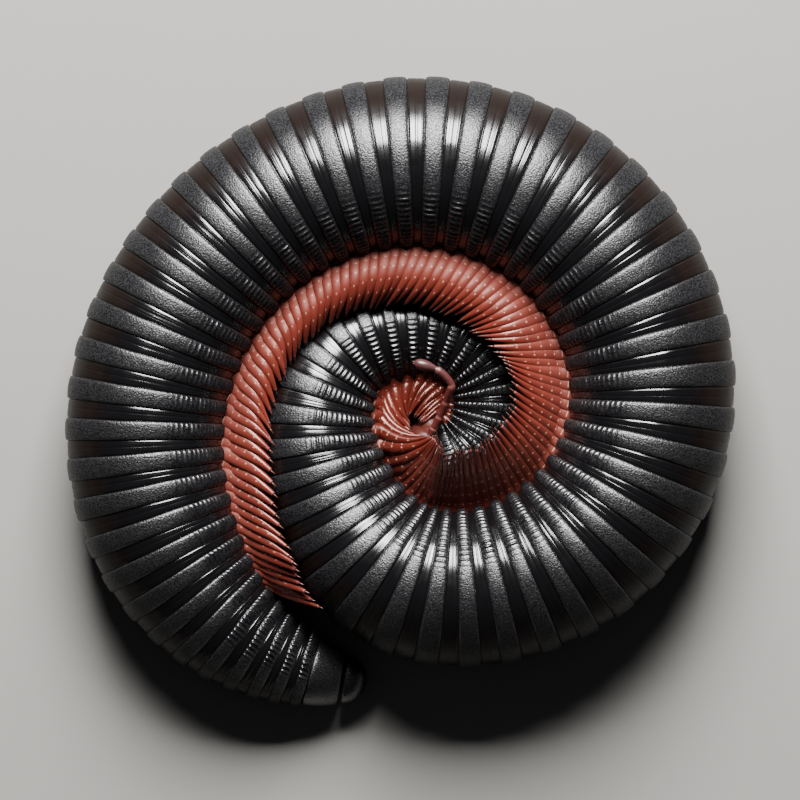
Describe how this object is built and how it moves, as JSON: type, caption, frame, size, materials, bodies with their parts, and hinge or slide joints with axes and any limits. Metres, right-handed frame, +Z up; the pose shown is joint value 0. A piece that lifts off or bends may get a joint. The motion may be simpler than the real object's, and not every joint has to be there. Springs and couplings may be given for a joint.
{
  "type": "curled giant millipede model",
  "caption": "Life-size still model of a stout black, red-legged giant millipede curled flat on its side in a spiral, head in the middle.",
  "frame": {"origin": "centre of the box round the animal, on the floor it lies on", "axes": "+Z up from the floor, out of the animal's right side; +Y toward the top of the picture; +X toward its right"},
  "size_m": [0.0624, 0.0588, 0.0164],
  "materials": {
    "shell": "satin black rings with glossy grooves, legs brick red",
    "head": "satin dark reddish brown",
    "feelers": "satin pinkish red",
    "eyes": "glossy black"
  },
  "bodies": {
    "root": {"anal_valve_left": "shell", "anal_valve_right": "shell", "antenna_left": "feelers", "antenna_right": "feelers", "collum": "shell", "eye_left": "eyes", "eye_right": "eyes", "head": "head", "telson": "shell", "trunk_01": "shell", "trunk_02": "shell", "trunk_03": "shell", "trunk_04": "shell", "trunk_05": "shell", "trunk_06": "shell", "trunk_07": "shell", "trunk_08": "shell", "trunk_09": "shell", "trunk_10": "shell", "trunk_11": "shell", "trunk_12": "shell", "trunk_13": "shell", "trunk_14": "shell", "trunk_15": "shell"}
  },
  "joints": []
}
